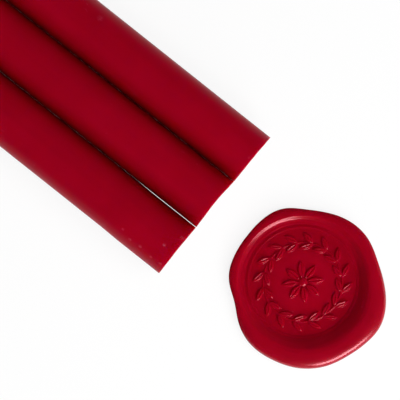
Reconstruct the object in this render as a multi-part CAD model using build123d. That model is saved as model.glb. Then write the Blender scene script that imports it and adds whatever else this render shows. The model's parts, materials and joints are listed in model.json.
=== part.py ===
from build123d import *
import math
import os

# Sealing wax: round sticks for a wax gun, lying side by side on a desk, and one seal of the same wax,
# stamped beside their near ends. Every piece is solid wax.
# Lengths are in millimetres and angles in degrees. +X runs along the sticks towards the seal, +Y across
# them to the left, and +Z up from the desk. The origin is the bottom centre of the box round the set.

# The sticks
STICK_DIAMETER = 11.0
STICK_LENGTH = 135.0
STICK_GAP = 0.05  # clear space between neighbours
STICK_EDGE_ROUND = 0.15  # rounding where a cut end meets the round side
LEFT_STICK_LEAD = 0.4  # the left stick lies this far ahead of the others
LEFT_END_SLANT = 0.9  # the near ends of the outer sticks aren't cut quite square
RIGHT_END_SLANT = 0.4
RIGHT_END_SHIFT = 0.09  # the right stick's near end lies this far away from its neighbour
SHIFTED_LENGTH = 9.5  # the stretch at the near end that lies away
BEND_LENGTH = 6.5  # the stretch before it, over which the stick bends away and back

# The seal: the floor that the stamp left, the sloping wall round it, and the rim of squeezed-out wax
STAMP_DIAMETER = 21.8
WALL_RUN = 1.0  # how far the wall leans outwards from the floor to the lip
FLOOR_THICKNESS = 1.35
STAMP_DEPTH = 1.25
# The rim's widths beyond the lip, at equal angles from +X round to the left
RIM_WIDTHS = [
    5.1, 4.9, 3.8, 3.0, 3.1, 2.8, 2.2, 2.0, 2.6, 2.3,
    1.9, 2.1, 2.2, 1.7, 2.7, 3.7, 4.1, 4.6, 4.8, 4.7,
]
RIM_TOP_ROUND = 1.1
RIM_FOOT_ROUND = 0.8
LIP_ROUND = 0.7
SEAL_CLEARANCE = 8.9  # from the middle stick's near end to the rim
SEAL_OFFSET = 1.1  # the stamp's centre lies this far to the right of the middle stick's axis

# The relief on the seal's floor: a raised ring, a wreath of paired leaves on a stem, and a rosette
RELIEF_HEIGHT = 0.45
RING_WIDTH = 0.4
RING_INSET = 0.5  # from the floor's edge to the middle of the ring
WREATH_INSET = 3.3  # from the floor's edge to the middle of the stem
STEM_WIDTH = 0.5
LEAF_PAIRS = 16
LEAF_LENGTH = 3.1
LEAF_WIDTH = 1.3
LEAF_TILT = 32.0
PETALS = 8
PETAL_LENGTH = 3.6
PETAL_WIDTH = 1.6
PETAL_LAP = 0.4  # how far a petal's root runs under the eye
EYE_DIAMETER = 1.9  # the round button in the middle of the rosette

STICK_RADIUS = STICK_DIAMETER / 2
FLOOR_RADIUS = STAMP_DIAMETER / 2
LIP_RADIUS = FLOOR_RADIUS + WALL_RUN
SEAL_HEIGHT = FLOOR_THICKNESS + STAMP_DEPTH


def stick_path(shift, spare):
    """A stick's centre line along +X to x = 0 and a little past it, its near end shifted to the right."""
    if not shift:
        return Line((-STICK_LENGTH, 0), (spare, 0))
    turn = 2 * math.degrees(math.atan(shift / BEND_LENGTH))
    bend_radius = BEND_LENGTH / (2 * math.sin(math.radians(turn)))
    straight = Line((-STICK_LENGTH, 0), (-SHIFTED_LENGTH - BEND_LENGTH, 0))
    away = JernArc(start=straight @ 1, tangent=straight % 1, radius=bend_radius, arc_size=-turn)
    back = JernArc(start=away @ 1, tangent=away % 1, radius=bend_radius, arc_size=turn)
    return straight + away + back + Line(back @ 1, (spare, -shift))


def wax_stick(slant, shift):
    """One stick lying on the desk, its near end at x = 0 and its far end cut square."""
    spare = STICK_EDGE_ROUND + STICK_RADIUS * math.tan(math.radians(abs(slant)))
    section = Plane.YZ.offset(-STICK_LENGTH) * Circle(STICK_RADIUS)
    bar = sweep(section, path=stick_path(shift, spare))
    near_end = Plane.YZ.rotated((0, 0, -slant))
    bar = split(bar, bisect_by=near_end, keep=Keep.BOTTOM)
    ends = bar.faces().filter_by(GeomType.PLANE)
    bar = fillet(ends.edges(), STICK_EDGE_ROUND)
    return Pos(0, 0, STICK_RADIUS) * bar


def ring_point(radius, angle):
    """A point at a radius and angle about the stamp's centre."""
    return Vector(radius * math.cos(math.radians(angle)), radius * math.sin(math.radians(angle)))


def pointed_oval(length, width):
    """A leaf or petal seen from above, from its root at x = 0 along +X to its tip."""
    root, tip = (0, 0), (length, 0)
    left = ThreePointArc(root, (length / 2, width / 2), tip)
    right = ThreePointArc(tip, (length / 2, -width / 2), root)
    return make_face(left + right)


def seal_blank():
    """The puddle of wax with its uneven rounded rim, before it is stamped."""
    step = 360 / len(RIM_WIDTHS)
    points = [ring_point(LIP_RADIUS + width, step * i) for i, width in enumerate(RIM_WIDTHS)]
    blank = extrude(make_face(Spline(points, periodic=True)), SEAL_HEIGHT)
    blank = fillet(blank.faces().sort_by(Axis.Z)[-1].edges(), RIM_TOP_ROUND)
    return fillet(blank.faces().sort_by(Axis.Z)[0].edges(), RIM_FOOT_ROUND)


def stamp_relief():
    """The raised pattern, each form sunk into the floor as deep as it stands above it."""
    stem_radius = FLOOR_RADIUS - WREATH_INSET
    stem_outside = Cylinder(stem_radius + STEM_WIDTH / 2, 2 * RELIEF_HEIGHT)
    stem_inside = Cylinder(stem_radius - STEM_WIDTH / 2, 2 * RELIEF_HEIGHT)
    relief = [Torus(FLOOR_RADIUS - RING_INSET, RING_WIDTH / 2), stem_outside - stem_inside]
    leaf = extrude(pointed_oval(LEAF_LENGTH, LEAF_WIDTH), RELIEF_HEIGHT, both=True)
    for i in range(LEAF_PAIRS):
        angle = 360 * i / LEAF_PAIRS
        for tilt in (LEAF_TILT, -LEAF_TILT):
            relief.append(Pos(ring_point(stem_radius, angle)) * Rot(0, 0, angle + 90 + tilt) * leaf)
    petal = extrude(pointed_oval(PETAL_LENGTH, PETAL_WIDTH), RELIEF_HEIGHT, both=True)
    for i in range(PETALS):
        angle = 360 * i / PETALS
        relief.append(Pos(ring_point(EYE_DIAMETER / 2 - PETAL_LAP, angle)) * Rot(0, 0, angle) * petal)
    relief.append(Cylinder(EYE_DIAMETER / 2, 2 * RELIEF_HEIGHT))
    return [Pos(0, 0, FLOOR_THICKNESS) * form for form in relief]


def stamped_seal():
    """The seal about the stamp's centre, lying on the desk."""
    hollow = Cone(FLOOR_RADIUS, LIP_RADIUS, STAMP_DEPTH, align=(Align.CENTER, Align.CENTER, Align.MIN))
    seal = seal_blank() - Pos(0, 0, FLOOR_THICKNESS) * hollow
    lip = seal.edges().filter_by(GeomType.CIRCLE).sort_by(Axis.Z)[-1]
    seal = fillet(lip, LIP_ROUND)
    return seal + stamp_relief()


def wax_set():
    """Every piece by name, in the set's own frame."""
    pitch = STICK_DIAMETER + STICK_GAP
    facing_rim = LIP_RADIUS + RIM_WIDTHS[len(RIM_WIDTHS) // 2]
    seal_centre = Pos(SEAL_CLEARANCE + facing_rim, -SEAL_OFFSET, 0)
    pieces = {
        "left_stick": Pos(LEFT_STICK_LEAD, pitch, 0) * wax_stick(LEFT_END_SLANT, 0),
        "middle_stick": wax_stick(0, 0),
        "right_stick": Pos(0, -pitch, 0) * wax_stick(RIGHT_END_SLANT, RIGHT_END_SHIFT),
        "stamped_seal": seal_centre * stamped_seal(),
    }
    box = Compound(list(pieces.values())).bounding_box()
    to_frame = Pos(-box.center().X, -box.center().Y, -box.min.Z)
    print("middle stick's near end:", to_frame.position)
    print("stamp's centre:", (to_frame * seal_centre).position)
    return {name: to_frame * piece for name, piece in pieces.items()}


os.makedirs("parts", exist_ok=True)
for name, piece in wax_set().items():
    export_step(piece, f"parts/{name}.step")
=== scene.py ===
import json
import math

import bpy
import numpy as np
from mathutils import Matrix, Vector, noise
from mathutils.bvhtree import BVHTree


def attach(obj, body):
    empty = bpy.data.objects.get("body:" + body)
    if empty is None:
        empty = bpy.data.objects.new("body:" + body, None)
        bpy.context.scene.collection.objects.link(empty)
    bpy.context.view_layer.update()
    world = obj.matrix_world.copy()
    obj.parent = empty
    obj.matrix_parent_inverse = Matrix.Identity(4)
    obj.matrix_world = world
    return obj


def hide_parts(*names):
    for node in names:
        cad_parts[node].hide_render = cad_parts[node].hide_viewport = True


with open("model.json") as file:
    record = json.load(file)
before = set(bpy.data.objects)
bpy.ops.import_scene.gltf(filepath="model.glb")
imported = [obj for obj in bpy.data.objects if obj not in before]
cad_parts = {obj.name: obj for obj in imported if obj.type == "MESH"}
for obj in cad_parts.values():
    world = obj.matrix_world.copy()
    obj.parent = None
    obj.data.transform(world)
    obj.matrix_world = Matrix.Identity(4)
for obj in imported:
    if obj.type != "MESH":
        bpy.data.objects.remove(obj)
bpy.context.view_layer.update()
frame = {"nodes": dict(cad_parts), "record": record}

# Crimson sealing wax: three round sticks side by side and a stamped seal, seen from straight above.
# Everything is in metres, in the CAD frame: +X along the sticks to the seal, +Y to the left, +Z up.
MM = 0.001

# The photograph's view
PIXEL = 0.1897 * MM  # what one pixel covers at the sticks' mid height
IMAGE_PIXELS = 400
STICK_TURN = math.radians(38.46)  # the sticks run this far below the picture's right-hand direction
CENTRE_BEHIND_ENDS = 2.5 * MM  # from the middle stick's near end back to the picture's centre
CENTRE_TO_RIGHT = 1.03 * MM  # from the middle stick's axis to the picture's centre
LENS_MM = 180.0
SENSOR_MM = 36.0
CLIP_START = 0.01
CLIP_END = 50.0

# The sticks, with the CAD model's length, slants in degrees and sideways shift of a near end. Their edges
# are sharper than the model's, and the bend before the shifted stretch is shorter. Cast sticks aren't quite
# alike, so their widths, and how far they lie to the left, differ a little. A lip is how far the cut has
# drawn the near end out at its left or right side.
STICK_LENGTH = 135.0 * MM
END_ROUND = 0.06 * MM
SHIFTED_LENGTH = 9.5 * MM
BEND_LENGTH = 5.2 * MM
STICK_FORMS = {
    "left_stick": {
        "width": 10.79 * MM, "aside": 0.080 * MM, "slant": 0.9, "shift": 0.0,
        "lips": (0.10 * MM, 0.06 * MM), "seed": 3.0,
    },
    "middle_stick": {
        "width": 11.17 * MM, "aside": 0.100 * MM, "slant": 0.0, "shift": 0.0,
        "lips": (0.36 * MM, 0.16 * MM), "seed": 11.0,
    },
    "right_stick": {
        "width": 11.10 * MM, "aside": -0.037 * MM, "slant": 0.4, "shift": 0.09 * MM,
        "lips": (0.09 * MM, 0.10 * MM), "seed": 23.0,
    },
}
STICK_STEPS = 128  # points round a stick
STICK_RING_SPACING = 1.0 * MM
CAP_SHARES = np.linspace(0.08, 0.97, 12)  # the rings on a cut end, as shares of its flat
EDGE_RINGS = 6
STICK_SWELL = 0.0245 * MM  # the cast wax all but closes the space between neighbours
CAST_WAVE = 0.0006 * MM  # how uneven the round side is
CAST_WAVE_SIZE = 3.0 * MM
CAST_STRETCH = 0.35  # less makes the waves longer along the stick
CUT_WAVE = 0.03 * MM  # how uneven the cut ends are
CUT_WAVE_SIZE = 1.8 * MM
CUT_DISH = 0.10 * MM  # how far the cut ends are hollowed
CUT_REACH = 5.0 * MM  # the stretch over which a cut end's shape dies away
LIP_START = 0.25  # how far out from the axis a lip begins, as a share of the radius
NEAR_SEED = 5.0  # added to a stick's seed for its near end
FAR_SEED = 9.0  # and for its far end

# Small pale scuffs: distance behind the near end, distance left of the axis, size, strength
SCUFFS = {
    "left_stick": [
        (0.6 * MM, -0.2 * MM, 0.35 * MM, 0.6),
        (35.0 * MM, 4.9 * MM, 0.30 * MM, 0.9),
        (38.7 * MM, 2.9 * MM, 0.80 * MM, 0.5),
    ],
    "middle_stick": [
        (7.1 * MM, 3.8 * MM, 0.30 * MM, 0.6),
        (24.0 * MM, -2.1 * MM, 0.30 * MM, 0.45),
    ],
    "right_stick": [
        (0.6 * MM, 2.3 * MM, 0.65 * MM, 1.0),
        (0.8 * MM, -3.9 * MM, 0.55 * MM, 0.7),
        (2.5 * MM, -0.7 * MM, 0.50 * MM, 0.6),
        (3.1 * MM, -4.0 * MM, 0.45 * MM, 0.8),
        (5.9 * MM, -3.7 * MM, 0.48 * MM, 1.0),
        (8.2 * MM, -3.9 * MM, 0.45 * MM, 0.9),
        (10.4 * MM, -3.2 * MM, 0.38 * MM, 1.0),
    ],
}

# The seal. Its outline is the CAD model's, and its wall and rim are softer. The stamp was pressed deeper
# on one side. There the wall is steepest near the floor, and on the shallow side near the crest.
FLOOR_RADIUS = 10.5 * MM
FLOOR_HEIGHT = 1.25 * MM
FLOOR_TILT = 0.4 * MM  # how much deeper than its middle the floor is on the deep side
FLOOR_WAVE = 0.05 * MM  # how uneven the floor is
FLOOR_WAVE_SIZE = 2.2 * MM
FLOOR_WAVE_END = 1.0 * MM  # the stretch at its edge over which that dies away
DEEP_SIDE = math.radians(-20.0)  # from +X
DEEP_SPREAD = 0.55  # more makes the change from the deep side to the shallow one gentler
DEEP_FOOT = 10.0 * MM  # where the wall starts on the deep side
SIDE_FOOT = 10.8 * MM  # where it starts at right angles to that
SHALLOW_FOOT = 11.0 * MM  # where it starts on the shallow side
DEEP_POWER = 1.7  # more brings the steepest stretch nearer to the floor
SHALLOW_POWER = 4.0  # more brings the steepest stretch nearer to the crest
FOLD_HEIGHT = 0.05 * MM  # the fine folds round the wall
FOLDS_ROUND = 2.2  # more puts more of them round the wall
FOLDS_UP = 7.0  # more puts more of them one above another
CREST_RADIUS = 12.8 * MM
CREST_HEIGHT = 2.25 * MM
DEEP_CREST_OUT = 1.3 * MM  # how much further out the crest is on the deep side
DEEP_RISE = 0.6 * MM  # how much higher it is there
CREST_SAG = 0.15 * MM  # how much lower the crest is in places
CREST_TO_OUTLINE = 0.9 * MM  # the least distance between them
OUTLINE_DETAIL = 20  # waves round the seal that its smooth outline keeps
OUTLINE_SWELL = 0.07 * MM
OUTLINE_WAVE = 0.03 * MM  # how uneven it is
OUTLINE_HEIGHT = 1.05 * MM  # where the rim is widest
RAY_START = 50.0 * MM  # from the stamp's centre, well outside the seal
RIM_POWER = 3.1  # 2 is an ellipse, and more flattens the rim's top
DEEP_ROUNDING = 0.75  # how much less it is on the deep side
RIM_WAVE = 0.03 * MM  # how uneven the rim is
RIM_WAVE_SIZE = 2.4 * MM
FOOT_INSET = 0.45 * MM  # how far the rim draws in under its widest line
BACK_SHARES = (0.9, 0.7, 0.4, 0.15)  # the rings on the flat back, as shares of its radius
SEAL_SEEDS = {"outline": 41.0, "crest": 52.0, "ring": 57.0, "floor": 61.0, "rim": 71.0, "folds": 83.0}
ROUND_WAVE_SIZES = {"outline": 0.2, "crest": 0.6, "ring": 0.5}  # in radians round the seal
SEAL_STEPS = 560  # points round the seal
FLOOR_RINGS = 108
WALL_RINGS = 28
RIM_RINGS = 26
FOOT_RINGS = 8

# The stamped relief: a ring and a groove at the floor's edge, a wreath of paired leaves, and a rosette
RELIEF_HEIGHT = 0.45 * MM
RELIEF_BEVEL = 0.30 * MM  # how far in from its outline a raised form reaches its height
RING_RADIUS = 10.55 * MM
RING_WIDTH = 0.6 * MM
RING_HEIGHT = 0.09 * MM
RING_WAVE = 0.06 * MM  # how much its height varies
GROOVE_RADIUS = 11.1 * MM
GROOVE_WIDTH = 0.7 * MM
GROOVE_DEPTH = 0.06 * MM
STEM_RADIUS = 7.6 * MM
STEM_WIDTH = 0.5 * MM
STEM_RISE = 0.7  # the stem's height as a share of the relief's
LEAF_PAIRS = 16
LEAF_LENGTH = 3.1 * MM
LEAF_WIDTH = 1.3 * MM
LEAF_TILT = math.radians(32.0)
LEAF_RIB = 0.16 * MM  # half the width of the midrib's hollow
PETALS = 8
PETAL_LENGTH = 3.6 * MM
PETAL_WIDTH = 1.6 * MM
PETAL_ROOT = 0.55 * MM
PETAL_RIB = 0.18 * MM
RIB_DEPTH = 0.4  # as a share of the relief's height
EYE_RADIUS = 0.95 * MM
EYE_RISE = 1.2  # the eye's height as a share of the relief's

# Wax colours in linear red, green and blue. A pair is for the lowest and highest values of a noise.
STICK_TONES = ((0.310, 0.0004, 0.0117), (0.347, 0.0006, 0.0136))
STREAK_TONES = ((0.245, 0.0003, 0.0085), (0.413, 0.0009, 0.018))
STREAK_SHARE = 0.12
SCUFF_TONE = (0.50, 0.05, 0.09)
CUT_TONE = (0.36, 0.002, 0.017)
CUT_SHARE = 0.35
END_SHADE_TONE = (0.265, 0.0008, 0.0187)  # painted shade just behind a near end
FLANK_SHADE_TONE = (0.32, 0.0003, 0.001)  # painted shade, with less blue, where a neighbour or the table is near
GAP_SHADE_TONE = (0.10, 0.0002, 0.0004)  # painted shade, deep between the sticks
SEAL_TONES = ((0.308, 0.0003, 0.0102), (0.350, 0.0006, 0.0126))
DUST_TONE = (0.6, 0.10, 0.14)
SEAL_SHADE_TONE = (0.10, 0.0002, 0.0006)  # painted shade on the seal's floor and in its hollows
SHEEN_TINT = (1.0, 0.40, 0.46, 1.0)
BLEED_DEPTH = 3.0 * MM  # how far light spreads in the wax
BLEED_SHARES = (1.0, 0.08, 0.12)  # the share of that for each colour

# Noise in the wax, in bumps per metre, for all axes alike or for each of them
STICK_MOTTLE = 160.0
CAST_STREAKS = (18.0, 700.0, 700.0)
FLECKS = (420.0, 900.0, 900.0)
FLECK_PATCHES = 95.0
KNIFE_DRAG = (60.0, 260.0, 2400.0)
STICK_GRAIN = 2600.0
SEAL_MOTTLE = 240.0
SEAL_RIPPLE = 420.0
SEAL_GRAIN = 1500.0
NOISE_SPAN = (0.3, 0.7)  # where most of a noise's values lie
GRIT_SPAN = (0.4, 0.6)  # the values between which a scuff's grit goes from its least to all of it
GRIT_LEAST = 0.25
FLECK_SPAN = (0.66, 0.72)  # between which a fleck appears
PATCH_SPAN = (0.56, 0.66)  # between which a patch of flecks appears
PATCH_SHARE = 0.4
DUST_SPAN = (0.72, 0.78)  # between which dust appears
DUST_SHARE = 0.15

# Where the wax's finish changes, and where shade is painted into its colour. A zone is from one distance to
# another, from the stamp's centre.
END_LIGHT_REACH = 5.5 * MM  # how far from the near end the painted shade between the sticks is lessened, for the light that comes in at the end
END_SHADE_REACH = 0.7 * MM  # how far behind the near end the wax is painted darker, painted shade that dims the light glowing through the cut edge
CUT_SPAN = (0.6, 0.95)  # how far along the stick a surface has to face to count as cut
STICK_SHADE_REACH = 5.8 * MM  # how near other surfaces have to stand for a stick to get painted shade
SEAL_SHADE_REACH = 3.5 * MM
FLANK_SHADE_SPAN = (0.3, 1.0)  # openness over which a flank's painted shade dies away
FLANK_SHADE_SHARE = 0.9
GAP_SHADE_SPAN = (0.1, 1.0)  # openness over which the painted shade between the sticks dies away
GAP_SHADE_SHARE = 0.95
GAP_SHADE_AT_END = 0.05
SEAL_SHADE_SPAN = (0.2, 0.95)  # openness over which the painted shade in the seal's hollows fades
SEAL_SHADE_SHARE = 0.15
SHINE_SPAN = (0.65, 0.85)  # openness over which the seal starts to shine
LEVEL_SPAN = (0.70, 0.79)  # how far upwards its surface has to face for all of its gloss
GLOSS_ZONE = (12.5 * MM, 15.0 * MM)  # the rim gets glossier outwards
GLOSS = (0.5, 0.85)
SEAL_ROUGHNESS = (0.22, 0.26)
STICK_ROUGHNESS = (0.34, 0.42)
BROW_ZONE = (15.0 * MM, 15.8 * MM)  # from here its steep outside has some gloss too
BROW_GLOSS = 0.38
FLOOR_SHADE_START = (5.0 * MM, 6.5 * MM)  # the floor round the rosette is painted a little darker, as painted shade
FLOOR_SHADE_END = (10.7 * MM, 11.7 * MM)  # up to the wall
FLOOR_SHADE_MOST = 0.19
FLOOR_SHADE_LEAST = 0.05

# Light
KEY_BEARING = math.radians(-22.5)  # from +X
KEY_ELEVATION = math.radians(23.0)
KEY_DISTANCE = 0.45
KEY_SIZE = (0.28, 0.14)
KEY_POWER = 0.9
TOP_PLACE = Vector((0.28, 0.04, 0.45))
TOP_SIZE = (0.6, 0.6)
TOP_POWER = 3.7
SIDE_LAMPS = {"left": (math.radians(20.0), 0.46), "right": (math.radians(-90.0), 0.58)}  # bearing, power
SIDE_ELEVATION = math.radians(13.0)
SIDE_DISTANCE = 0.6
SIDE_SIZE = (0.9, 0.22)
SKY_LEVELS = ((0.0, 0.5), (0.08, 0.1), (0.2, 0.02), (0.8, 0.005))  # sine of elevation, level

# The table
TABLE_SIZE = 12.0
TABLE_GREY = (0.75, 0.75, 0.75)  # as it lights the wax
TABLE_WHITE = (0.95, 0.95, 0.95)  # as it is seen
TABLE_GLOW = 0.85  # share of plain white in the table as it is seen

mount_points = {m["name"]: Vector(m["pos_m"]) for m in frame["record"]["mounts"]}


def new_piece(name, mesh, material, body, node):
    """Puts a mesh into the scene in place of its CAD node."""
    piece = bpy.data.objects.new(name, mesh)
    bpy.context.scene.collection.objects.link(piece)
    mesh.materials.append(material)
    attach(piece, body)
    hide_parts(node)


def skin(name, first, rings, last):
    """A closed smooth mesh from a first point through equal rings of points to a last point."""
    rings = np.asarray(rings)
    count, around = rings.shape[:2]
    points = np.concatenate([[first], rings.reshape(-1, 3), [last]])
    here = np.arange(around)
    there = (here + 1) % around
    faces = [(0, 1 + b, 1 + a) for a, b in zip(here, there)]
    for i in range(count - 1):
        low, high = 1 + i * around, 1 + (i + 1) * around
        faces += [(low + a, low + b, high + b, high + a) for a, b in zip(here, there)]
    top, end = 1 + (count - 1) * around, len(points) - 1
    faces += [(top + a, top + b, end) for a, b in zip(here, there)]
    mesh = bpy.data.meshes.new(name)
    mesh.from_pydata(points.tolist(), [], [tuple(map(int, f)) for f in faces])
    mesh.validate()
    mesh.shade_smooth()
    return mesh


def smooth(t):
    """Rises from 0 to 1 with level ends."""
    t = np.clip(t, 0.0, 1.0)
    return t * t * (3.0 - 2.0 * t)


def eased(t, power):
    """Rises from 0 to 1 with level ends, and is steepest at power / (power + 1)."""
    t = np.clip(t, 0.0, 1.0)
    return (power + 2.0) * t ** (power + 1.0) - (power + 1.0) * t ** (power + 2.0)


def noise_at(points, scale, seed):
    """Smooth noise between about -1 and 1 at each point, with bumps about scale across."""
    shift = Vector((seed, seed * 0.7, seed * 1.3))
    return np.array([noise.noise(Vector(p) / scale + shift) for p in points])


def stick_stations(radius):
    """(distance from the far end, ring radius) from the far cap's middle to the near cap's middle."""
    flat = radius - END_ROUND
    start = [(0.0, flat * share) for share in CAP_SHARES]
    for step in range(EDGE_RINGS):
        turn = math.pi / 2 * step / (EDGE_RINGS - 1)
        start.append((END_ROUND * (1.0 - math.cos(turn)), flat + END_ROUND * math.sin(turn)))
    body_length = STICK_LENGTH - 2 * END_ROUND
    count = round(body_length / STICK_RING_SPACING)
    body = [(END_ROUND + body_length * i / count, radius) for i in range(1, count)]
    end = [(STICK_LENGTH - along, ring) for along, ring in reversed(start)]
    return start + body + end


def stick_mesh(node, form):
    """A cast round stick with slightly uneven sides and knife-cut ends.

    Its points carry their distance from the near end for the material.
    """
    far_end = mount_points[node + "_far_end"]
    radius = far_end.z
    angles = np.linspace(0.0, 2 * math.pi, STICK_STEPS, endpoint=False)
    round_points = np.stack([0 * angles, np.cos(angles), np.sin(angles)], 1)
    slope = math.tan(math.radians(form["slant"]))
    left_lip, right_lip = form["lips"]
    stations = stick_stations(radius)
    rings = []
    for along, ring_radius in stations:
        flat = ring_radius * round_points
        place = flat + np.array([CAST_STRETCH * along, 0.0, 0.0])
        uneven = noise_at(place, CAST_WAVE_SIZE, form["seed"])
        grow = 1.0 + (STICK_SWELL - CAST_WAVE * (1.0 + uneven)) / radius
        y, z = flat[:, 1] * grow * form["width"] / (2 * radius), flat[:, 2] * grow
        side = y / radius
        drawn = left_lip * np.clip((side - LIP_START) / (1.0 - LIP_START), 0.0, 1.0)
        drawn += right_lip * np.clip((-side - LIP_START) / (1.0 - LIP_START), 0.0, 1.0)
        dish = CUT_DISH * (1.0 - (ring_radius / radius) ** 2)
        near_cut = CUT_WAVE * noise_at(flat, CUT_WAVE_SIZE, form["seed"] + NEAR_SEED)
        near_cut += drawn + slope * y - dish
        far_cut = CUT_WAVE * noise_at(flat, CUT_WAVE_SIZE, form["seed"] + FAR_SEED) + dish
        near = smooth(1.0 - (STICK_LENGTH - along) / CUT_REACH)
        far = smooth(1.0 - along / CUT_REACH)
        x = along + near * near_cut + far * far_cut
        bent = smooth((along - (STICK_LENGTH - SHIFTED_LENGTH - BEND_LENGTH)) / BEND_LENGTH)
        y = y + form["aside"] - form["shift"] * bent
        rings.append(np.stack([x, y, z], 1) + np.array(far_end))
    mesh = skin(node, rings[0].mean(0), rings, rings[-1].mean(0))
    behind = np.repeat([STICK_LENGTH - along for along, ring_radius in stations], STICK_STEPS)
    distances = mesh.attributes.new("behind_near_end", "FLOAT", "POINT")
    distances.data.foreach_set("value", np.concatenate([[STICK_LENGTH], behind, [0.0]]))
    return mesh


def seal_outline(angles, centre):
    """The CAD seal's outline as a smooth radius at each angle about the stamp's centre."""
    cad = frame["nodes"]["stamped_seal"].data
    corners = [v.co for v in cad.vertices]
    tree = BVHTree.FromPolygons(corners, [tuple(p.vertices) for p in cad.polygons])
    start = Vector((centre.x, centre.y, OUTLINE_HEIGHT))
    reach = []
    for angle in angles:
        outwards = Vector((math.cos(angle), math.sin(angle), 0.0))
        hit = tree.ray_cast(start + outwards * RAY_START, -outwards)
        reach.append((hit[0] - start).length)
    waves = np.fft.rfft(reach)
    waves[OUTLINE_DETAIL:] = 0.0
    return np.fft.irfft(waves, len(angles))


def raised(depth):
    """Share of a form's height at a given depth inside its outline: bevelled, then level."""
    return smooth(depth / RELIEF_BEVEL)


def pointed_oval(x, y, root_radius, root_angle, heading, length, width, rib):
    """A leaf or petal's share of the relief's height, with a hollow along its midrib."""
    across = x - root_radius * math.cos(root_angle)
    up = y - root_radius * math.sin(root_angle)
    share = (across * math.cos(heading) + up * math.sin(heading)) / length
    off_rib = np.abs(up * math.cos(heading) - across * math.sin(heading))
    half_width = 2.0 * width * share * (1.0 - share)
    depth = np.where((share > 0) & (share < 1), half_width - off_rib, -1.0)
    return raised(depth) * (1.0 - RIB_DEPTH * np.clip(1.0 - off_rib / rib, 0.0, 1.0))


def stamp_relief(x, y):
    """The stamped pattern's height over the seal's floor: a wreath and a rosette."""
    r = np.hypot(x, y)
    height = STEM_RISE * raised(STEM_WIDTH / 2 - np.abs(r - STEM_RADIUS))
    for i in range(LEAF_PAIRS):
        angle = 2 * math.pi * i / LEAF_PAIRS
        for tilt in (LEAF_TILT, -LEAF_TILT):
            heading = angle + math.pi / 2 + tilt
            leaf = pointed_oval(x, y, STEM_RADIUS, angle, heading, LEAF_LENGTH, LEAF_WIDTH, LEAF_RIB)
            height = np.maximum(height, leaf)
    for i in range(PETALS):
        angle = 2 * math.pi * i / PETALS
        petal = pointed_oval(x, y, PETAL_ROOT, angle, angle, PETAL_LENGTH, PETAL_WIDTH, PETAL_RIB)
        height = np.maximum(height, petal)
    eye = np.sqrt(np.clip(1.0 - (r / EYE_RADIUS) ** 2, 0.0, None))
    return RELIEF_HEIGHT * np.maximum(height, EYE_RISE * eye)


def wall_rise(radius, foot, crest, deep):
    """How far up the wall a radius lies, from 0 at its foot to 1 at the crest.

    The deep side's wall starts at the given foot, and the shallow side's at its own.
    """
    steep_below = 1.0 - eased((crest - radius) / (crest - foot), DEEP_POWER)
    steep_above = eased((radius - SHALLOW_FOOT) / (crest - SHALLOW_FOOT), SHALLOW_POWER)
    return deep * steep_below + (1.0 - deep) * steep_above


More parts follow.
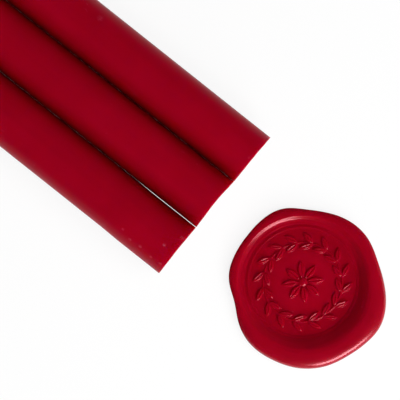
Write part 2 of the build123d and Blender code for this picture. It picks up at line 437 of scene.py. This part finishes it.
def seal_mesh(centre):
    """The seal: a sunken stamped floor, a rolled rim of squeezed-out wax and a flat back."""
    angles = np.linspace(0.0, 2 * math.pi, SEAL_STEPS, endpoint=False)
    outwards = np.stack([np.cos(angles), np.sin(angles), np.zeros(SEAL_STEPS)], 1)

    def noise_round(what):
        return noise_at(outwards, ROUND_WAVE_SIZES[what], SEAL_SEEDS[what])

    towards_deep = np.cos(angles - DEEP_SIDE)
    deep = smooth((towards_deep + DEEP_SPREAD) / (2 * DEEP_SPREAD))
    deepest = smooth(towards_deep)
    outline = seal_outline(angles, centre) + OUTLINE_SWELL + OUTLINE_WAVE * noise_round("outline")
    crest = np.minimum(CREST_RADIUS + DEEP_CREST_OUT * deepest, outline - CREST_TO_OUTLINE)
    crest_height = CREST_HEIGHT + DEEP_RISE * deep
    crest_height -= CREST_SAG * (0.5 + 0.5 * noise_round("crest"))
    foot = SIDE_FOOT - (SIDE_FOOT - DEEP_FOOT) * deepest
    floor_edge = FLOOR_HEIGHT - FLOOR_TILT * towards_deep
    rim_power = RIM_POWER - DEEP_ROUNDING * deep
    ring_height = RING_HEIGHT + RING_WAVE * noise_round("ring")
    rings = []

    def edge_relief(radius):
        """The raised ring, and the groove round it on the shallow side."""
        ring = ring_height * smooth(1.0 - np.abs(radius - RING_RADIUS) / (RING_WIDTH / 2))
        groove = GROOVE_DEPTH * smooth(1.0 - np.abs(radius - GROOVE_RADIUS) / (GROOVE_WIDTH / 2))
        return ring - groove * (1.0 - deep)

    def wall_height(radius):
        """How high the wall stands over the floor."""
        return (crest_height - floor_edge) * wall_rise(radius, foot, crest, deep)

    def add_ring(radius, height):
        points = outwards * np.broadcast_to(radius, SEAL_STEPS)[:, None]
        points[:, 2] = height
        rings.append(points)

    for i in range(1, FLOOR_RINGS + 1):
        radius = FLOOR_RADIUS * i / FLOOR_RINGS
        flat = outwards * radius
        uneven = FLOOR_WAVE * noise_at(flat, FLOOR_WAVE_SIZE, SEAL_SEEDS["floor"])
        uneven *= smooth((FLOOR_RADIUS - radius) / FLOOR_WAVE_END)
        pattern = stamp_relief(flat[:, 0], flat[:, 1]) + edge_relief(radius)
        height = FLOOR_HEIGHT + (floor_edge - FLOOR_HEIGHT) * i / FLOOR_RINGS
        add_ring(radius, height + wall_height(radius) + uneven + pattern)
    for i in range(1, WALL_RINGS + 1):
        share = i / WALL_RINGS
        radius = FLOOR_RADIUS + (crest - FLOOR_RADIUS) * share
        fold_place = outwards * FOLDS_ROUND + np.array([0.0, 0.0, FOLDS_UP * share])
        fold = FOLD_HEIGHT * noise_at(fold_place, 1.0, SEAL_SEEDS["folds"]) * math.sin(math.pi * share)
        add_ring(radius, floor_edge + wall_height(radius) + fold + edge_relief(radius))
    for i in range(1, RIM_RINGS + 1):
        turn = math.pi / 2 * i / RIM_RINGS
        out = math.sin(turn) ** (2 / rim_power)
        up = max(math.cos(turn), 0.0) ** (2 / rim_power)
        radius = crest + (outline - crest) * out
        uneven = RIM_WAVE * noise_at(outwards * radius[:, None], RIM_WAVE_SIZE, SEAL_SEEDS["rim"])
        height = OUTLINE_HEIGHT + (crest_height - OUTLINE_HEIGHT) * up
        add_ring(radius, height + uneven * up * out)
    for i in range(1, FOOT_RINGS + 1):
        turn = math.pi / 2 * i / FOOT_RINGS
        add_ring(outline - FOOT_INSET * (1 - math.cos(turn)), OUTLINE_HEIGHT * (1 - math.sin(turn)))
    for share in BACK_SHARES:
        add_ring((outline - FOOT_INSET) * share, 0.0)
    place = np.array((centre.x, centre.y, 0.0))
    eye_top = FLOOR_HEIGHT + float(stamp_relief(np.zeros(1), np.zeros(1))[0])
    from_below = np.array(rings)[::-1] + place
    return skin("stamped_seal", place, from_below, place + np.array((0.0, 0.0, eye_top)))


class Nodes:
    """A short way to write a material's node tree."""

    def __init__(self, name):
        self.material = bpy.data.materials.new(name)
        self.material.use_nodes = True
        self.tree = self.material.node_tree
        self.shader = self.tree.nodes["Principled BSDF"]
        self.place = self.add("ShaderNodeTexCoord").outputs["Object"]

    def plug(self, node, sources):
        """Links each named socket of a node to its source, or sets it to a plain value."""
        for socket, source in sources.items():
            if isinstance(source, bpy.types.NodeSocket):
                self.tree.links.new(source, node.inputs[socket])
            else:
                node.inputs[socket].default_value = source

    def add(self, kind, sources=None, **settings):
        node = self.tree.nodes.new(kind)
        for key, value in settings.items():
            setattr(node, key, value)
        self.plug(node, sources or {})
        return node

    def finish(self, **sources):
        """Plugs sources into the surface's shader, with _ for a space in a socket's name."""
        self.plug(self.shader, {socket.replace("_", " "): source for socket, source in sources.items()})
        return self.material

    def math(self, operation, a, b=0.0):
        return self.add("ShaderNodeMath", {0: a, 1: b}, operation=operation).outputs[0]

    def between(self, value, start, stop, low, high):
        """A number that goes from low to high as a value goes from start to stop."""
        sources = {0: value, 1: start, 2: stop, 3: low, 4: high}
        return self.add("ShaderNodeMapRange", sources).outputs[0]

    def mix(self, factor, a, b):
        """Colour a, with more of colour b the larger the factor is."""
        a, b = [(*colour, 1.0) if isinstance(colour, tuple) else colour for colour in (a, b)]
        return self.add("ShaderNodeMix", {0: factor, 6: a, 7: b}, data_type="RGBA").outputs[2]

    def tones(self, values, pair):
        """A colour that goes from one of a pair to the other with a noise's values."""
        return self.mix(self.between(values, *NOISE_SPAN, 0.0, 1.0), *pair)

    def noise(self, bumps, detail, roughness=0.5):
        """Noise with a number of bumps per metre, for all axes alike or for each of them."""
        vector, scale = self.place, bumps
        if isinstance(bumps, tuple):
            stretched = self.add("ShaderNodeMapping", {"Vector": self.place, "Scale": bumps})
            vector, scale = stretched.outputs["Vector"], 1.0
        sources = {"Vector": vector, "Scale": scale, "Detail": detail, "Roughness": roughness}
        return self.add("ShaderNodeTexNoise", sources).outputs["Fac"]

    def bump(self, height, strength, distance, under=None):
        sources = {"Height": height, "Strength": strength, "Distance": distance}
        if under is not None:
            sources["Normal"] = under
        return self.add("ShaderNodeBump", sources).outputs["Normal"]

    def away(self, spot):
        """The distance from a spot."""
        sources = {0: self.place, 1: spot}
        return self.add("ShaderNodeVectorMath", sources, operation="DISTANCE").outputs["Value"]

    def facing(self, axis):
        """How far the surface faces along an axis."""
        normal = self.add("ShaderNodeNewGeometry").outputs["Normal"]
        return self.add("ShaderNodeSeparateXYZ", {0: normal}).outputs[axis]

    def openness(self, distance):
        """1 in the open, and less where other surfaces stand round within a distance."""
        return self.add("ShaderNodeAmbientOcclusion", {"Distance": distance}, samples=8).outputs["AO"]


def placed_scuffs(n, grain):
    """A gritty mask with the listed scuffs on the sticks' upper sides."""
    mask = None
    for node, marks in SCUFFS.items():
        far_end = mount_points[node + "_far_end"]
        for behind, left, size, strength in marks:
            up = math.sqrt(far_end.z**2 - left**2)
            spot = far_end + Vector((STICK_LENGTH - behind, left, up))
            mark = n.between(n.away(spot), 0.0, size, strength, 0.0)
            mask = mark if mask is None else n.math("MAXIMUM", mask, mark)
    return n.math("MULTIPLY", mask, n.between(grain, *GRIT_SPAN, GRIT_LEAST, 1.0))


def stick_wax():
    """Satin crimson wax with faint lengthwise casting streaks, mottling and small pale scuffs, and painted
    shade between the sticks, on their flanks and just behind their near ends.
    """
    n = Nodes("stick_wax")
    mottle = n.noise(STICK_MOTTLE, detail=4.0)
    streak = n.noise(CAST_STREAKS, detail=3.0)
    drag = n.noise(KNIFE_DRAG, detail=3.0)
    grain = n.noise(STICK_GRAIN, detail=2.0)
    fleck = n.between(n.noise(FLECKS, detail=2.0, roughness=0.6), *FLECK_SPAN, 0.0, 1.0)
    patch = n.between(n.noise(FLECK_PATCHES, detail=2.0), *PATCH_SPAN, 0.0, PATCH_SHARE)
    scuff = n.math("MAXIMUM", n.math("MULTIPLY", fleck, patch), placed_scuffs(n, grain))
    cut = n.between(n.math("ABSOLUTE", n.facing("X")), *CUT_SPAN, 0.0, 1.0)
    behind = n.add("ShaderNodeAttribute", attribute_name="behind_near_end").outputs["Fac"]
    openness = n.openness(STICK_SHADE_REACH)
    # painted shade deep between the sticks, lessened close to the near end
    most_gap_shade = n.between(behind, 0.0, END_LIGHT_REACH, GAP_SHADE_AT_END, GAP_SHADE_SHARE)
    gap_shade = n.math("MINIMUM", most_gap_shade, n.between(openness, *GAP_SHADE_SPAN, GAP_SHADE_SHARE, 0.0))
    colour = n.mix(STREAK_SHARE, n.tones(mottle, STICK_TONES), n.tones(streak, STREAK_TONES))
    colour = n.mix(scuff, colour, SCUFF_TONE)
    colour = n.mix(n.math("MULTIPLY", cut, CUT_SHARE), colour, CUT_TONE)
    # painted shade just behind the near end, which dims the glow at the cut edge
    colour = n.mix(n.between(behind, 0.0, END_SHADE_REACH, 1.0, 0.0), colour, END_SHADE_TONE)
    # painted shade on the flanks, where a neighbour or the table is near
    colour = n.mix(n.between(openness, *FLANK_SHADE_SPAN, FLANK_SHADE_SHARE, 0.0), colour, FLANK_SHADE_TONE)
    # painted shade in the lines between the sticks
    colour = n.mix(gap_shade, colour, GAP_SHADE_TONE)
    cast = n.bump(streak, strength=0.15, distance=0.06 * MM)
    cast = n.bump(grain, strength=0.06, distance=0.05 * MM, under=cast)
    return n.finish(
        Base_Color=colour,
        Roughness=n.between(mottle, *NOISE_SPAN, *STICK_ROUGHNESS),
        Specular_IOR_Level=0.06,
        Subsurface_Weight=1.0,
        Subsurface_Scale=BLEED_DEPTH,
        Subsurface_Radius=BLEED_SHARES,
        Normal=n.bump(n.math("MULTIPLY", drag, cut), strength=0.5, distance=0.05 * MM, under=cast),
    )


def seal_wax():
    """Glossy crimson wax that has run and set, with a faint skin, a little dust, and painted shade on its
    floor and in its hollows.
    """
    n = Nodes("seal_wax")
    mottle = n.noise(SEAL_MOTTLE, detail=4.0)
    ripple = n.noise(SEAL_RIPPLE, detail=3.0)
    grain = n.noise(SEAL_GRAIN, detail=2.0)
    out = n.away(mount_points["seal_back"])
    openness = n.openness(SEAL_SHADE_REACH)
    # painted shade on the sunken floor, from round the rosette out to the wall
    floor_shade = n.math(
        "MINIMUM",
        n.between(out, *FLOOR_SHADE_START, FLOOR_SHADE_LEAST, FLOOR_SHADE_MOST),
        n.between(out, *FLOOR_SHADE_END, FLOOR_SHADE_MOST, 0.0),
    )
    dust = n.between(grain, *DUST_SPAN, 0.0, DUST_SHARE)
    colour = n.mix(dust, n.tones(mottle, SEAL_TONES), DUST_TONE)
    colour = n.mix(floor_shade, colour, SEAL_SHADE_TONE)
    # painted shade in the seal's hollows, where other surfaces stand near
    colour = n.mix(n.between(openness, *SEAL_SHADE_SPAN, SEAL_SHADE_SHARE, 0.0), colour, SEAL_SHADE_TONE)
    level = n.between(n.facing("Z"), *LEVEL_SPAN, 0.0, 1.0)
    polish = n.math("MAXIMUM", n.between(out, *BROW_ZONE, 0.0, BROW_GLOSS), level)
    polish = n.math("MULTIPLY", n.between(out, *GLOSS_ZONE, *GLOSS), polish)
    skin_bump = n.bump(ripple, strength=0.2, distance=0.08 * MM)
    return n.finish(
        Base_Color=colour,
        Roughness=n.between(out, *GLOSS_ZONE, *SEAL_ROUGHNESS),
        IOR=1.8,
        Specular_IOR_Level=n.math("MULTIPLY", polish, n.between(openness, *SHINE_SPAN, 0.0, 1.0)),
        Specular_Tint=SHEEN_TINT,
        Subsurface_Weight=0.4,
        Subsurface_Scale=BLEED_DEPTH,
        Subsurface_Radius=BLEED_SHARES,
        Normal=n.bump(grain, strength=0.25, distance=0.02 * MM, under=skin_bump),
    )


def table():
    """A plain white table that keeps a soft shadow."""
    bpy.ops.mesh.primitive_plane_add(size=TABLE_SIZE, location=(0.0, 0.0, 0.0))
    floor = bpy.context.object
    floor.name = "floor"
    n = Nodes("floor_white")
    path = n.add("ShaderNodeLightPath").outputs
    seen = n.math("ADD", path["Is Camera Ray"], path["Is Glossy Ray"])
    seen = n.math("ADD", seen, path["Is Transmission Ray"])
    n.finish(Base_Color=n.mix(seen, TABLE_GREY, TABLE_WHITE), Roughness=0.9, Specular_IOR_Level=0.0)
    white = n.add("ShaderNodeEmission", {"Color": (1.0, 1.0, 1.0, 1.0), "Strength": 1.0})
    sources = {0: n.math("MULTIPLY", seen, TABLE_GLOW), 1: n.shader.outputs[0], 2: white.outputs[0]}
    both = n.add("ShaderNodeMixShader", sources)
    n.plug(n.tree.nodes["Material Output"], {"Surface": both.outputs[0]})
    floor.data.materials.append(n.material)


def heading_to(bearing, elevation):
    """The direction at a bearing from +X and an elevation over the table."""
    level = math.cos(elevation)
    return Vector((level * math.cos(bearing), level * math.sin(bearing), math.sin(elevation)))


def area_lamp(name, location, target, size, power, shape="RECTANGLE"):
    """A soft box, with its size across and upright, that faces its target."""
    data = bpy.data.lights.new(name, "AREA")
    data.shape = shape
    data.size, data.size_y = size
    data.energy = power
    lamp = bpy.data.objects.new(name, data)
    lamp.location = location
    lamp.rotation_euler = (target - location).to_track_quat("-Z", "Y").to_euler()
    bpy.context.scene.collection.objects.link(lamp)
    return lamp


def soften(lamp):
    """Leaves a lamp's light but takes away its reflection and its own picture."""
    lamp.visible_glossy = False
    lamp.visible_camera = False
    lamp.data.cycles.use_multiple_importance_sampling = False


def sky():
    """A dim sky that is brightest at the horizon."""
    world = bpy.data.worlds.new("studio")
    bpy.context.scene.world = world
    world.use_nodes = True
    tree = world.node_tree
    place = tree.nodes.new("ShaderNodeTexCoord")
    split = tree.nodes.new("ShaderNodeSeparateXYZ")
    ramp = tree.nodes.new("ShaderNodeValToRGB")
    tree.links.new(place.outputs["Generated"], split.inputs[0])
    tree.links.new(split.outputs["Z"], ramp.inputs["Fac"])
    tree.links.new(ramp.outputs["Color"], tree.nodes["Background"].inputs["Color"])
    elements = ramp.color_ramp.elements
    while len(elements) < len(SKY_LEVELS):
        elements.new(0.5)
    for element, (sine, level) in zip(elements, SKY_LEVELS):
        element.position = sine
        element.color = (level, level, level, 1.0)


def lights(target):
    """A key soft box beyond the seal, soft light from above and from both sides, and a dim sky."""
    key_place = target + heading_to(KEY_BEARING, KEY_ELEVATION) * KEY_DISTANCE
    area_lamp("key", key_place, target, KEY_SIZE, KEY_POWER, "ELLIPSE")
    soften(area_lamp("top", target + TOP_PLACE, target, TOP_SIZE, TOP_POWER))
    for name, (bearing, power) in SIDE_LAMPS.items():
        place = target + heading_to(bearing, SIDE_ELEVATION) * SIDE_DISTANCE
        soften(area_lamp(name, place, target, SIDE_SIZE, power))
    sky()


def camera(target):
    """Straight down on the picture's centre, turned so that the sticks slant as photographed."""
    data = bpy.data.cameras.new("camera")
    data.lens = LENS_MM
    data.sensor_width = SENSOR_MM
    data.clip_start = CLIP_START
    data.clip_end = CLIP_END
    holder = bpy.data.objects.new("camera", data)
    distance = IMAGE_PIXELS * PIXEL * LENS_MM / SENSOR_MM
    holder.location = target + Vector((0.0, 0.0, distance))
    holder.rotation_euler = (0.0, 0.0, STICK_TURN)
    bpy.context.scene.collection.objects.link(holder)
    bpy.context.scene.camera = holder


middle_end = mount_points["middle_stick_far_end"] + Vector((STICK_LENGTH, 0.0, 0.0))
picture_centre = middle_end - Vector((CENTRE_BEHIND_ENDS, CENTRE_TO_RIGHT, 0.0))
camera(picture_centre)
table()
lights(picture_centre)

wax_of_sticks = stick_wax()
for node, form in STICK_FORMS.items():
    new_piece("wax_" + node, stick_mesh(node, form), wax_of_sticks, node, node)
wax_puddle = seal_mesh(mount_points["seal_back"])
new_piece("wax_seal", wax_puddle, seal_wax(), "seal", "stamped_seal")

bpy.context.scene.view_settings.view_transform = "Standard"
